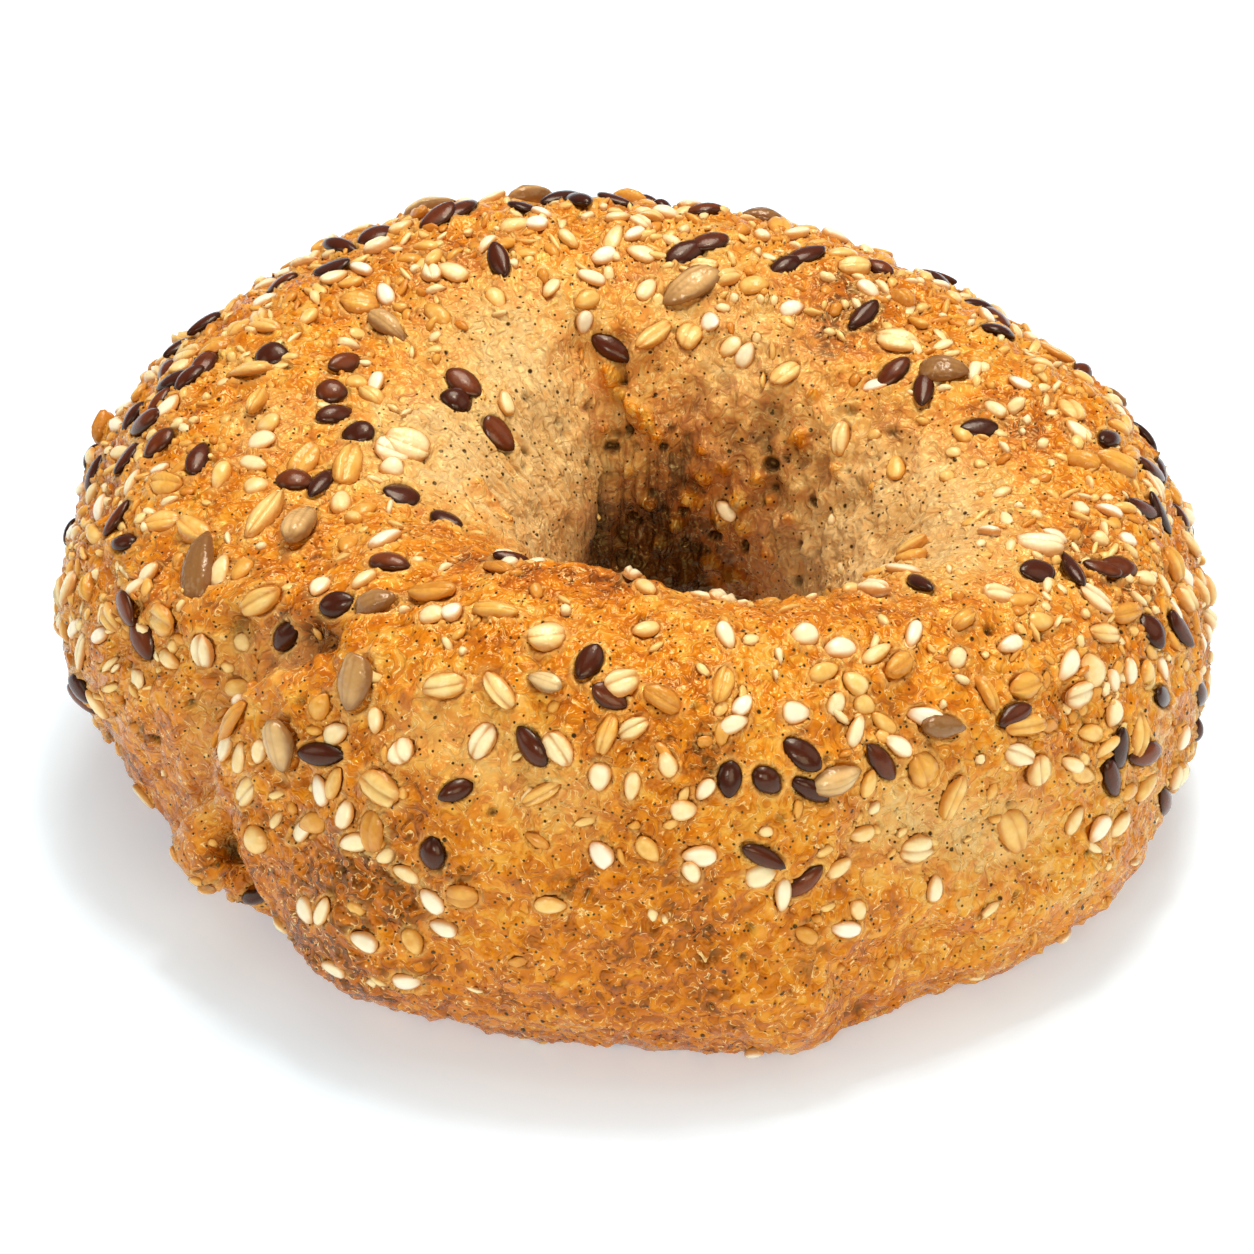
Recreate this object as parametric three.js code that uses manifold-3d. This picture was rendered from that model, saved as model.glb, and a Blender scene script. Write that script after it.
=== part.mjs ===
// A hand-rolled multigrain bagel, lying flat on its baked underside, as one solid.
// Millimetres, +Z up. The origin is the middle of the flat base, under the centre of the bagel's
// outline; -Y is the front, where the rolled rope of dough was joined to itself at the left.
// The ring is a swept section whose sizes are stated at twelve clock positions. Folds, lumps and pits
// of the dough are strokes pressed into it, and the larger seeds are fused on to the crust.
import * as THREE from "three";
import { mergeVertices } from "three/addons/utils/BufferGeometryUtils.js";
import Module from "manifold-3d";

// Driving sizes of the ring, one value every 30 degrees from +X towards +Y, so the back is the fourth.
const RING = {
  outer: [52.5, 56.5, 56.5, 58, 65, 65, 61, 50, 47.5, 45.5, 44, 47.5], // hole's centre to the outside
  inner: [15, 16, 16.5, 16.5, 15, 12, 10, 10.5, 11, 12.5, 13.5, 14.5], // hole's centre to its wall
  crest: [38, 41, 44.5, 47.5, 48, 45, 41, 42.5, 45, 44.5, 42, 40], // height of the top
};
const HOLE_CENTRE = { x: 4, y: -6.8 }; // the hole lies right of the middle and in front of it
const SECTION = {
  equator: 0.46, // height of the widest level, as a share of the crest's height
  roundTop: 2.15, // superellipse exponents: 2 is an ellipse, more is squarer
  roundBase: 2.25,
  sink: 1.07, // how far the lower half runs past the base, which is cut flat
};

// Forms of the dough: a path of [degrees round the ring, degrees round the section], and how wide and
// high the stroke is. Degrees round the section run from 0 outside, over 90 on top, to 180 in the hole.
const STROKES = {
  frontCorner: { wide: 8, high: 3.2, path: [[286, -28]] },
  foldBehindCorner: { wide: 2.4, high: -1.8, path: [[294, -38], [290, -16], [299, -14], [309, -21]] },
  frontLeftBelly: { wide: 9, high: 3.2, path: [[228, -24]] },
  frontRightBelly: { wide: 8, high: 1.6, path: [[318, -24], [333, -22]] },
  tuckUnderLeftLobe: { wide: 9, high: -3, path: [[184, -24], [197, -10]] },
  tipOfTheJoin: { wide: 4.2, high: 3.2, path: [[208, -13]] },
  pitInTheTip: { wide: 1.9, high: -2.6, path: [[211, -5]] },
  grooveOfTheJoin: { wide: 2.8, high: -2.6, path: [[204, -8], [205, 17], [206, 32], [209, 46], [217, 54]] },
  lipOfTheJoin: { wide: 2.8, high: 1.4, path: [[209, 8], [210, 26], [214, 41], [220, 57]] },
  upperFoldOfTheJoin: { wide: 2.2, high: 1.2, path: [[190, 36], [199, 44], [203, 60]] },
  brownKnob: { wide: 3.4, high: 1.4, path: [[211, 58]] },
  creaseInTheHole: { wide: 2, high: -2.4, path: [[111, 128], [110, 155], [104, 180]] },
  wrinkleOnTheRim: { wide: 2.2, high: 1.1, path: [[236, 100], [250, 112], [264, 112]] },
  dipOfTheFront: { wide: 4, high: -1.2, path: [[243, 46], [251, 31], [258, 24]] },
  dipOfTheRightFront: { wide: 5, high: -1.4, path: [[296, 16], [319, -1]] },
  dipOfTheLeftCrest: { wide: 7, high: -1, path: [[144, 96]] },
  lumpOfTheBack: { wide: 9, high: 1.4, path: [[62, 24], [80, 8]] },
  dipOfTheBack: { wide: 6, high: -1.2, path: [[101, 40], [108, -10]] },
  lumpOfTheLeftBack: { wide: 9, high: 0.8, path: [[152, 20]] },
};

// The mesh of the dough: steps round the ring and round its section.
const RING_STEPS = 72;
const SECTION_STEPS = 28;

// Seeds, largest first: sizes, how many, the free space kept round each, and which share stands proud.
const SEEDS = {
  sunflowerKernel: { long: 7, wide: 3.6, thick: 2.4, count: 12, gap: 15, proud: 0.7 },
  rolledGrain: { long: 5, wide: 3.4, thick: 1.5, count: 44, gap: 7.5, proud: 0.75 },
  linseed: { long: 4.6, wide: 2.4, thick: 1.5, count: 100, gap: 5, proud: 0.75 },
};
const SEED_FORM = {
  sides: 5,
  rings: [0.27, 0.72], // places of the rings between the blunt end and the pointed one
  pointed: 0.8, // under 1 the widest place moves towards the blunt end
  full: 0.7, // under 1 the ends are rounder
};
const STICKS = {
  low: -20, // seeds are drawn between these degrees round the section
  high: 155,
  sideTo: 20, // up to here is the side, and up to topTo the top; beyond is the hole
  topTo: 115,
  side: 0.55, // how readily a seed sticks on the side, on the top and in the hole
  top: 1,
  hole: 0.25,
  lowest: 7, // no seed is nearer to the base
};
const SEED_DRAW = 20417;
const MOST_TRIES = 6000;

const DEGREE = Math.PI / 180;
const FULL_TURN = 2 * Math.PI;

// A seeded draw of numbers from 0 to 1.
function draws(seed) {
  let state = seed;
  return () => {
    state = (state + 0x6d2b79f5) | 0;
    let t = Math.imul(state ^ (state >>> 15), 1 | state);
    t = (t + Math.imul(t ^ (t >>> 7), 61 | t)) ^ t;
    return ((t ^ (t >>> 14)) >>> 0) / 4294967296;
  };
}

// A smooth closed curve through values that are evenly spaced round the ring.
function smoothRound(values, turn) {
  const n = values.length;
  const at = (((turn / FULL_TURN) % 1) + 1) * n;
  const i = Math.floor(at);
  const f = at - i;
  const [a, b, c, d] = [-1, 0, 1, 2].map((k) => values[(i + k) % n]);
  const bend = (2 * a - 5 * b + 4 * c - d) * f ** 2 + (3 * b - a - 3 * c + d) * f ** 3;
  return 0.5 * (2 * b + (c - a) * f + bend);
}

const signedPower = (x, p) => Math.sign(x) * Math.abs(x) ** p;

// The plain swept ring, without strokes.
function plainPoint(turn, tilt) {
  const outer = smoothRound(RING.outer, turn);
  const inner = smoothRound(RING.inner, turn);
  const crest = smoothRound(RING.crest, turn);
  const exponent = 2 / (Math.sin(tilt) >= 0 ? SECTION.roundTop : SECTION.roundBase);
  const across = signedPower(Math.cos(tilt), exponent);
  const up = signedPower(Math.sin(tilt), exponent);
  const level = crest * SECTION.equator;
  const radius = (outer + inner) / 2 + ((outer - inner) / 2) * across;
  const z = level + up * (up >= 0 ? crest - level : level * SECTION.sink);
  const x = HOLE_CENTRE.x + radius * Math.cos(turn);
  const y = HOLE_CENTRE.y + radius * Math.sin(turn);
  return new THREE.Vector3(x, y, Math.max(z, 0));
}

function outwardNormal(point, turn, tilt) {
  const step = 0.01;
  const along = point(turn + step, tilt).sub(point(turn - step, tilt));
  const over = point(turn, tilt + step).sub(point(turn, tilt - step));
  return along.cross(over).normalize();
}

const strokes = Object.values(STROKES).map(({ wide, high, path }) => {
  const points = path.map(([turn, tilt]) => plainPoint(turn * DEGREE, tilt * DEGREE));
  return { wide, high, points };
});

function distanceToPath(p, points) {
  if (points.length === 1) return p.distanceTo(points[0]);
  const nearest = new THREE.Vector3();
  const gaps = points.slice(1).map((end, i) => {
    new THREE.Line3(points[i], end).closestPointToPoint(p, true, nearest);
    return p.distanceTo(nearest);
  });
  return Math.min(...gaps);
}

// How far the strokes move a point of the plain ring outwards.
function relief(p) {
  const shares = strokes.map((s) => s.high * Math.exp(-((distanceToPath(p, s.points) / s.wide) ** 2)));
  return shares.reduce((sum, share) => sum + share, 0);
}

// The dough's surface: the plain ring with its strokes, flat at the base.
function doughPoint(turn, tilt) {
  const p = plainPoint(turn, tilt);
  if (p.z === 0) return p;
  p.addScaledVector(outwardNormal(plainPoint, turn, tilt), relief(p));
  p.z = Math.max(p.z, 0);
  return p;
}

function closedGeometry(position, index) {
  const geometry = new THREE.BufferGeometry();
  geometry.setAttribute("position", new THREE.Float32BufferAttribute(position, 3));
  geometry.setIndex(index);
  return geometry;
}

function doughGeometry() {
  const position = [];
  const index = [];
  const corner = (i, j) => (i % RING_STEPS) * SECTION_STEPS + (j % SECTION_STEPS);
  for (let i = 0; i < RING_STEPS; i++) {
    for (let j = 0; j < SECTION_STEPS; j++) {
      const turn = (FULL_TURN * i) / RING_STEPS;
      const tilt = (FULL_TURN * (j + 0.5)) / SECTION_STEPS;
      position.push(...doughPoint(turn, tilt).toArray());
      index.push(corner(i, j), corner(i + 1, j), corner(i + 1, j + 1));
      index.push(corner(i, j), corner(i + 1, j + 1), corner(i, j + 1));
    }
  }
  return closedGeometry(position, index);
}

// A seed along X: rings between two tips, blunt at one end and pointed at the other.
function seedGeometry({ long, wide, thick }) {
  const { sides, rings, pointed, full } = SEED_FORM;
  const position = [-long / 2, 0, 0];
  for (const t of rings) {
    const bulge = Math.sin(Math.PI * t ** pointed) ** full / 2;
    for (let k = 0; k < sides; k++) {
      const a = (FULL_TURN * k) / sides;
      position.push((t - 0.5) * long, Math.cos(a) * bulge * wide, Math.sin(a) * bulge * thick);
    }
  }
  position.push(long / 2, 0, 0);
  const index = [];
  const last = 1 + rings.length * sides;
  for (let k = 0; k < sides; k++) {
    const next = (k + 1) % sides;
    index.push(0, 1 + next, 1 + k);
    for (let ring = 1; ring < rings.length; ring++) {
      const high = 1 + ring * sides;
      const low = high - sides;
      index.push(low + k, low + next, high + next);
      index.push(low + k, high + next, high + k);
    }
    index.push(last, last - sides + k, last - sides + next);
  }
  return closedGeometry(position, index);
}

function readiness(degrees) {
  if (degrees < STICKS.sideTo) return STICKS.side;
  return degrees < STICKS.topTo ? STICKS.top : STICKS.hole;
}

// Places of the seeds: drawn at random, and kept where they stick and have free space round them.
function seedPlaces() {
  const draw = draws(SEED_DRAW);
  const places = [];
  const widest = Math.max(...RING.outer);
  for (const seed of Object.values(SEEDS)) {
    let left = seed.count;
    for (let tries = 0; left > 0 && tries < MOST_TRIES; tries++) {
      const turn = draw() * FULL_TURN;
      const degrees = STICKS.low + draw() * (STICKS.high - STICKS.low);
      const [chance, spin] = [draw(), draw() * Math.PI];
      const at = doughPoint(turn, degrees * DEGREE);
      const reach = Math.hypot(at.x - HOLE_CENTRE.x, at.y - HOLE_CENTRE.y) / widest;
      const free = places.every((other) => other.at.distanceTo(at) > seed.gap);
      if (!free || at.z < STICKS.lowest || chance > readiness(degrees) * reach) continue;
      places.push({ seed, at, spin, normal: outwardNormal(doughPoint, turn, degrees * DEGREE) });
      left--;
    }
  }
  return places;
}

// A seed laid flat on the crust, turned by its spin, with its share standing proud.
function placeSeed({ seed, at, spin, normal }) {
  const level = new THREE.Vector3(0, 0, 1).cross(normal).normalize();
  const along = level.applyAxisAngle(normal, spin);
  const frame = new THREE.Matrix4().makeBasis(along, normal.clone().cross(along), normal);
  frame.setPosition(at.clone().addScaledVector(normal, (seed.proud - 0.5) * seed.thick));
  return seedGeometry(seed).applyMatrix4(frame);
}

const wasm = await Module();
wasm.setup();

function toSolid(geometry) {
  const merged = mergeVertices(geometry);
  return new wasm.Manifold(
    new wasm.Mesh({
      numProp: 3,
      vertProperties: new Float32Array(merged.attributes.position.array),
      triVerts: new Uint32Array(merged.index.array),
    }),
  );
}

function toGeometry(solid) {
  const { numProp, numVert, vertProperties, triVerts } = solid.getMesh();
  const position = [];
  for (let i = 0; i < numVert; i++) {
    position.push(...vertProperties.subarray(i * numProp, i * numProp + 3));
  }
  const geometry = closedGeometry(position, [...triVerts]);
  geometry.computeVertexNormals();
  return geometry;
}

// The dough and its seeds in one solid. A loose scrap would be dropped here.
function bakedSolid() {
  const pieces = [doughGeometry(), ...seedPlaces().map(placeSeed)].map(toSolid);
  const bodies = wasm.Manifold.union(pieces).decompose();
  return bodies.reduce((a, b) => (a.volume() > b.volume() ? a : b));
}

const crust = new THREE.MeshStandardMaterial({ color: 0xc98a45, roughness: 0.45, metalness: 0 });
const bagel = new THREE.Mesh(toGeometry(bakedSolid()), crust);
bagel.name = "bagel";

const part = new THREE.Group();
part.add(bagel);

export default part;
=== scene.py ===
"""A hand-rolled multigrain bagel on a pale floor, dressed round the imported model.

Sizes are millimetres until mesh_piece() and the camera turn them into metres. +Z is up and -Y is the
front. The dough repeats the sizes of the solid: a section swept round the hole, with strokes pressed
into it. On it come the fine relief of the crust, and the seeds, each kind as one joined mesh. Seeds that
the photograph shows are placed by their pixels and lie on the crust; the rest are scattered by rule.
"""
import itertools
import math

import bpy
import numpy as np
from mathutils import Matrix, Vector
from mathutils.bvhtree import BVHTree
from mathutils.kdtree import KDTree


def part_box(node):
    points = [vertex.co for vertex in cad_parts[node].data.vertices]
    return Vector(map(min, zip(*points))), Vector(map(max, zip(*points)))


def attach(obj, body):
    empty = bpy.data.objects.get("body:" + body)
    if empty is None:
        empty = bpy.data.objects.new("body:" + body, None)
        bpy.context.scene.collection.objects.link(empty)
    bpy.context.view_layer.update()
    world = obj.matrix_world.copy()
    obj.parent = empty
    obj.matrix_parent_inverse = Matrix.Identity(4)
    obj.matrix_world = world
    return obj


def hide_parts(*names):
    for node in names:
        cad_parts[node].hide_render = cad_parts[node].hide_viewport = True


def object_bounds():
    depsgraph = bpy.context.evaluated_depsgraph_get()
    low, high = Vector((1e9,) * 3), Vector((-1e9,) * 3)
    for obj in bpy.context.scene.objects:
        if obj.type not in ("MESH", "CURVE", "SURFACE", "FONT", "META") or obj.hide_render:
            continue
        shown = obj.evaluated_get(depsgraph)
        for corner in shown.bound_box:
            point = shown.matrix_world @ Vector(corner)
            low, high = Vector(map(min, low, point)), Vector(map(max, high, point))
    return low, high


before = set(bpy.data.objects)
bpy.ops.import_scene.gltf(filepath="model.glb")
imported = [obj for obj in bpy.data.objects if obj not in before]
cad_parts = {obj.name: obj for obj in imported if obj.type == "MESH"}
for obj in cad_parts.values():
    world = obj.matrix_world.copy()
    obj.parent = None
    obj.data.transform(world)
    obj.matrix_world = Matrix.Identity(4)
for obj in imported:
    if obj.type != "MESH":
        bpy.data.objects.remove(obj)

cad_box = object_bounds()

MM = 0.001
DEGREE = math.pi / 180
FULL_TURN = 2 * math.pi

# The ring, one value every 30 degrees from +X towards +Y, as in the solid.
RING = {
    "outer": [52.5, 56.5, 56.5, 58, 65, 65, 61, 50, 47.5, 45.5, 44, 47.5],
    "inner": [15, 16, 16.5, 16.5, 15, 12, 10, 10.5, 11, 12.5, 13.5, 14.5],
    "crest": [38, 41, 44.5, 47.5, 48, 45, 41, 42.5, 45, 44.5, 42, 40],
}
HOLE_CENTRE = (4, -6.8)
EQUATOR = 0.46
ROUND_TOP = 2.15
ROUND_BASE = 2.25
SINK = 1.07

# Strokes of the solid: how wide and high in mm, then a path of degrees round the ring and the section.
STROKES = {
    "front corner": (8, 3.2, [(286, -28)]),
    "fold behind the corner": (2.4, -1.8, [(294, -38), (290, -16), (299, -14), (309, -21)]),
    "front left belly": (9, 3.2, [(228, -24)]),
    "front right belly": (8, 1.6, [(318, -24), (333, -22)]),
    "tuck under the left lobe": (9, -3, [(184, -24), (197, -10)]),
    "tip of the join": (4.2, 3.2, [(208, -13)]),
    "pit in the tip": (1.9, -2.6, [(211, -5)]),
    "groove of the join": (2.8, -2.6, [(204, -8), (205, 17), (206, 32), (209, 46), (217, 54)]),
    "lip of the join": (2.8, 1.4, [(209, 8), (210, 26), (214, 41), (220, 57)]),
    "upper fold of the join": (2.2, 1.2, [(190, 36), (199, 44), (203, 60)]),
    "brown knob": (3.4, 1.4, [(211, 58)]),
    "crease in the hole": (2, -2.4, [(111, 128), (110, 155), (104, 180)]),
    "wrinkle on the rim": (2.2, 1.1, [(236, 100), (250, 112), (264, 112)]),
    "dip of the front": (4, -1.2, [(243, 46), (251, 31), (258, 24)]),
    "dip of the right front": (5, -1.4, [(296, 16), (319, -1)]),
    "dip of the left crest": (7, -1, [(144, 96)]),
    "lump of the back": (9, 1.4, [(62, 24), (80, 8)]),
    "dip of the back": (6, -1.2, [(101, 40), (108, -10)]),
    "lump of the left back": (9, 0.8, [(152, 20)]),
}

# Fields painted on the crust in the same way: how wide, how strong, and the path.
BROWNED_AND_SHADED = [
    (5, 1, [(210, 56)]),
    (8, 0.8, [(232, 3), (226, -10)]),
    (2.6, 0.7, [(240, 97), (257, 106)]),
    (3, 0.6, [(212, 106), (226, 104)]),
    (4.5, 0.9, [(59, 104)]),
    (6, 0.55, [(56, 86)]),
    (5.5, 0.5, [(20, 77), (22, 100)]),
    (3.5, 0.8, [(121, 93), (127, 88)]),
    (5, 0.5, [(353, 72), (347, 52)]),
    (4, 0.5, [(164, 31), (174, 36)]),
    (7, 0.2, [(278, -6), (263, 0)]),
    (5, 0.2, [(291, -3)]),
    (5, 0.45, [(272, 43)]),
    (8, 0.5, [(80, 40), (120, 35)]),
    (7, 0.45, [(10, 10), (30, 25)]),
    (9, -0.35, [(284, -12), (310, -18), (328, -15)]),
    # Painted shade: this stroke darkens the bottom of the back wall of the hole.
    (8, 0.8, [(116, 172), (84, 176)]),
    (5, 0.35, [(88, 150), (66, 150)]),
    (22, 0.16, [(240, 0), (290, 5)]),
    (16, 0.2, [(170, -5), (195, 5)]),
]
PALE = [
    (8, 1, [(156, 128), (130, 148), (129, 118)]),
    (7, 0.9, [(158, 150), (136, 162)]),
    (7, 0.9, [(11, 132), (13, 156), (38, 168)]),
    (6, 0.7, [(168, 112), (162, 116)]),
    (8, 1.1, [(345, 108), (5, 122)]),
    (9, 0.5, [(28, 132), (66, 134)]),
    (4.5, 0.8, [(299, 19), (314, 6)]),
    (3, 0.7, [(207, 41), (212, 46)]),
    (3, 0.6, [(204, -8), (205, 17)]),
    (7, 0.45, [(89, 109), (77, 122)]),
    (4, 0.5, [(167, 82)]),
    (4, 0.45, [(238, 42), (256, 30)]),
    (6, 0.4, [(40, -5), (60, -12)]),
    (6, 0.4, [(130, -8), (150, -15)]),
]
NUTTY = [
    (14, 1, [(150, 20), (165, 45), (180, 15)]),
    (9, 0.9, [(112, 140)]),
    (10, 0.6, [(345, 20), (10, 10)]),
]
ROUGH = [(9, 1, [(85, 160), (55, 150), (42, 134), (66, 137)])]
STRETCHED_ROUND = [(8, 1, [(299, 19), (330, 4)]), (7, 0.7, [(80, 10), (120, 5)])]
STRETCHED_OVER = [
    (15, 1.2, [(176, -8), (194, 16)]),
    (10, 0.9, [(108, 165), (140, 140)]),
    (7, 0.6, [(345, 110), (5, 122)]),
    (9, 0.5, [(30, 5)]),
]
# Where many small seeds and crumbs lie on the side that the photograph shows.
CROWDED = [
    (15, 1, [(118, 55), (150, 42), (172, 34)]),
    (7, 0.7, [(176, 20), (190, 30)]),
    (12, 0.8, [(60, 84), (95, 76)]),
    (16, 0.8, [(40, 86), (62, 90), (104, 84), (140, 92)]),
    (12, 0.9, [(338, 42), (8, 52), (30, 66)]),
]
# The join in finer steps than the solid has: how wide, how high, and the path.
CREASES = [
    (3.4, 1.1, [(215, -4), (216, 14), (217, 31), (221, 44), (228, 54)]),
    (1.4, -1.7, [(203, -6), (205, 14), (206, 28), (208, 40), (213, 49)]),
    (1.6, -1.4, [(204, 47)]),
    (1.7, -1.6, [(216, 55), (214, 51)]),
    (2.4, -3, [(212, -20), (215, -30)]),
    (2.9, 2.7, [(203, -7), (206, -12)]),
    (1.7, -2.6, [(211, -9), (213, -14)]),
    (1.2, 0.9, [(190, 41), (197, 46), (202, 56)]),
    (1.2, -1.8, [(103, 128), (108, 146), (115, 174)]),
]
# Painted shade: darker colour in the creases of the join and of the hole, and at the bottom of the hole.
SHADED = [
    (1, 0.7, [(106, 138), (109, 150), (115, 174)]),
    (5, 1, [(112, 179), (96, -176), (80, -171)]),
    (8, 0.3, [(98, 162), (62, 156)]),
    (1.5, 0.9, [(204, 47)]),
    (1.4, 0.8, [(216, 55), (214, 52)]),
    (1.5, 1, [(211, -9), (213, -13)]),
    (1.1, 0.3, [(205, 14), (206, 28), (208, 40), (213, 49)]),
]

# Seeds that show in the photograph: x and y in its 1254 x 1254 pixels, how many degrees the long axis
# rises to the right, and for unusual ones a scale.
LINSEEDS = [
    (499, 265, -65), (610, 348, -35), (464, 383, -40), (457, 399, -15), (499, 434, -45), (332, 392, -5),
    (335, 414, 20), (358, 437, -10), (272, 356, 0), (169, 372, 70), (193, 378, 45), (206, 364, 60),
    (178, 381, 30), (161, 446, 45), (126, 459, 60), (147, 425, 20), (134, 418, 50), (200, 462, 70),
    (295, 482, -5), (321, 484, 50), (401, 495, -10), (446, 522, -30), (390, 565, -10), (338, 605, 10),
    (139, 640, -65), (125, 609, -60), (119, 520, 55), (332, 269, 10), (375, 236, 25), (341, 249, 0),
    (281, 283, 20), (91, 473, 60), (461, 213, 25), (438, 221, 20), (560, 198, 10), (578, 205, -30),
    (615, 201, -10), (527, 210, 0), (708, 245, 10), (686, 252, 20), (706, 212, -5), (806, 256, 15),
    (785, 265, 20), (979, 305, -10), (1006, 312, -40), (997, 332, -15), (893, 374, 45), (924, 394, 85),
    (979, 429, 10), (863, 315, 40), (1149, 471, -30), (1163, 470, -70), (1140, 510, -15),
    (1159, 514, -50), (1036, 574, 5), (1072, 569, -65), (1103, 567, -25), (1117, 568, -10),
    (1150, 632, -65), (1177, 630, -60), (1160, 697, -15), (1196, 692, 50), (1119, 748, -80),
    (1141, 753, 20), (1112, 778, -70), (1168, 803, 80), (324, 754, -5), (457, 790, 25), (433, 853, 88),
    (532, 746, -55), (589, 665, 60), (610, 698, -30), (729, 779, 85), (766, 780, -40), (800, 754, -40),
    (810, 790, -30), (880, 761, -50), (762, 855, -25), (1009, 716, 30),
]
KERNELS = [
    (302, 527, 65, 1.2), (203, 570, 80, 1.2), (289, 745, 87), (387, 327, -35, 0.85), (689, 288, 30, 1.15),
    (944, 376, -5, 0.9), (362, 686, 70), (376, 605, 10, 0.8), (834, 778, 20, 0.95), (937, 727, -3, 0.85),
    (546, 684, -25, 0.7),
]
FLAKES = [
    (359, 303, -5, 1.3), (238, 329, 40, 1.3), (249, 368, 0, 1.3), (190, 358, 15), (348, 469, 70, 1.2),
    (304, 462, 45), (391, 453, -15, 1.2), (406, 448, -20, 1.2), (265, 517, 50, 1.3), (163, 522, 20),
    (170, 489, 0), (433, 594, 0), (447, 687, 10), (500, 691, -50), (483, 741, 60), (463, 895, -10),
    (404, 751, -60), (384, 786, -35), (233, 721, 50), (375, 830, 88), (607, 734, 70), (559, 749, -55),
    (543, 792, 25), (722, 686, 75), (663, 700, -30), (622, 685, 20), (496, 614, -5), (546, 638, 10),
    (653, 337, 40, 1.25), (689, 337, 65), (786, 375, 45), (843, 440, 80), (1039, 549, -8),
    (1096, 599, -30), (1059, 351, -35, 1.25), (963, 621, 30), (1102, 635, 0), (1082, 461, -30),
    (984, 694, -70), (1023, 687, 20), (1079, 695, 20), (896, 669, 40), (1014, 831, -75, 1.25),
    (1022, 725, 10), (922, 769, -70), (1037, 769, -80), (952, 796, 75), (163, 621, -30), (202, 651, 85),
    (110, 616, -60), (56, 619, 85), (68, 587, 80), (252, 789, 50),
]
SESAME = [
    (262, 441, 0), (386, 542, 30), (364, 510, 20), (341, 502, 80), (347, 541, 70), (257, 486, 20),
    (254, 465, -20), (221, 477, 60), (268, 425, 0), (392, 470, -30), (356, 380, 10), (171, 410, 55),
    (410, 258, 10), (335, 280, 30), (133, 483, 60), (96, 505, 70), (426, 244, 0), (453, 273, -20),
    (401, 230, 20), (437, 316, -35), (496, 299, -60), (550, 292, 60), (591, 279, 0), (586, 303, 30),
    (584, 322, 80), (647, 288, 60), (754, 287, 0), (516, 229, 10), (535, 228, -10), (617, 224, 0),
    (634, 236, 30), (641, 253, -20), (613, 241, 60), (603, 258, 20), (709, 324, -80), (730, 348, 40),
    (745, 356, 60), (841, 258, 0), (974, 373, 70), (905, 572, 0), (319, 585, 60), (222, 573, 70),
    (242, 571, 60), (135, 589, 25), (226, 747, 80), (265, 750, 80), (327, 707, 60), (335, 734, 30),
    (321, 790, -70), (336, 782, 60), (349, 812, 85), (358, 841, 10), (302, 830, 40), (314, 823, 10),
    (264, 836, -65), (99, 703, -65), (237, 688, 0), (406, 874, -20), (432, 901, -50), (442, 929, -5),
    (308, 910, -55), (326, 909, 70), (366, 939, -20), (331, 972, -25), (407, 982, 0), (269, 936, -50),
    (632, 786, 80), (600, 777, 85), (667, 764, -70), (732, 725, 20), (741, 706, 50), (705, 790, 60),
    (684, 811, 0), (601, 854, -50), (648, 850, -50), (699, 854, 0), (691, 871, -70), (760, 874, 20),
    (551, 905, -10), (434, 617, 0), (453, 614, 30), (783, 895, 85), (858, 909, 40), (845, 929, 0),
    (839, 867, 30), (807, 936, -30), (868, 783, 80), (1097, 828, 50), (1121, 825, 55), (1111, 713, 80),
    (1067, 666, 60), (1088, 671, -60), (1114, 680, -50), (1144, 672, 85), (1162, 669, -75),
    (1194, 680, 60), (1091, 733, 0), (1082, 774, -20), (1129, 792, 20), (1147, 787, 60), (913, 635, 70),
    (840, 648, 10), (1041, 621, 0), (958, 657, 50), (1010, 645, 20), (825, 671, 20), (837, 703, 60),
    (795, 713, 0), (867, 704, -20), (886, 722, -40), (858, 731, 70), (898, 745, -30), (803, 639, 10),
    (855, 683, -40), (1180, 737, 85), (242, 755, 88), (876, 655, 30), (1023, 599, 10),
]
# Knots of dough on the wall of the hole, and pits in the crust: x and y in pixels, and the radius in mm.
KNOTS = [
    (612, 381, 1.1), (617, 396, 1), (627, 405, 0.9), (634, 413, 0.9), (646, 424, 1.2), (607, 370, 0.8),
    (656, 436, 0.9), (475, 486, 1), (488, 499, 1), (498, 515, 1.1), (503, 527, 0.8), (690, 500, 1),
    (720, 520, 1.1), (741, 503, 1.1), (676, 526, 1), (703, 478, 1), (760, 478, 0.9), (800, 440, 1.2),
    (838, 470, 0.9), (700, 450, 0.8), (725, 470, 0.8), (745, 530, 1.1), (770, 552, 1), (710, 560, 1.2),
    (792, 520, 0.9), (771, 500, 0.8), (660, 545, 1), (648, 505, 0.8), (630, 470, 0.8), (816, 396, 0.8),
    (686, 575, 1.1), (735, 578, 1.1), (622, 545, 0.9), (604, 430, 0.7), (600, 470, 0.7),
]
PITS = [
    (154, 739, 0.7), (125, 700, 0.5), (189, 707, 0.5), (664, 447, 0.5), (769, 465, 0.8), (684, 512, 0.5),
    (812, 502, 0.6), (830, 516, 0.45), (743, 958, 0.45), (587, 895, 0.45), (628, 432, 0.6),
    (634, 522, 0.7), (745, 545, 0.6), (800, 545, 0.5), (345, 870, 0.4), (492, 812, 0.45),
    (1008, 515, 0.45), (990, 628, 0.6), (1108, 437, 0.6), (462, 868, 0.45), (612, 448, 0.6),
    (606, 500, 0.6), (650, 492, 0.45), (716, 536, 0.5), (528, 450, 0.45), (559, 420, 0.4),
]

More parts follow.
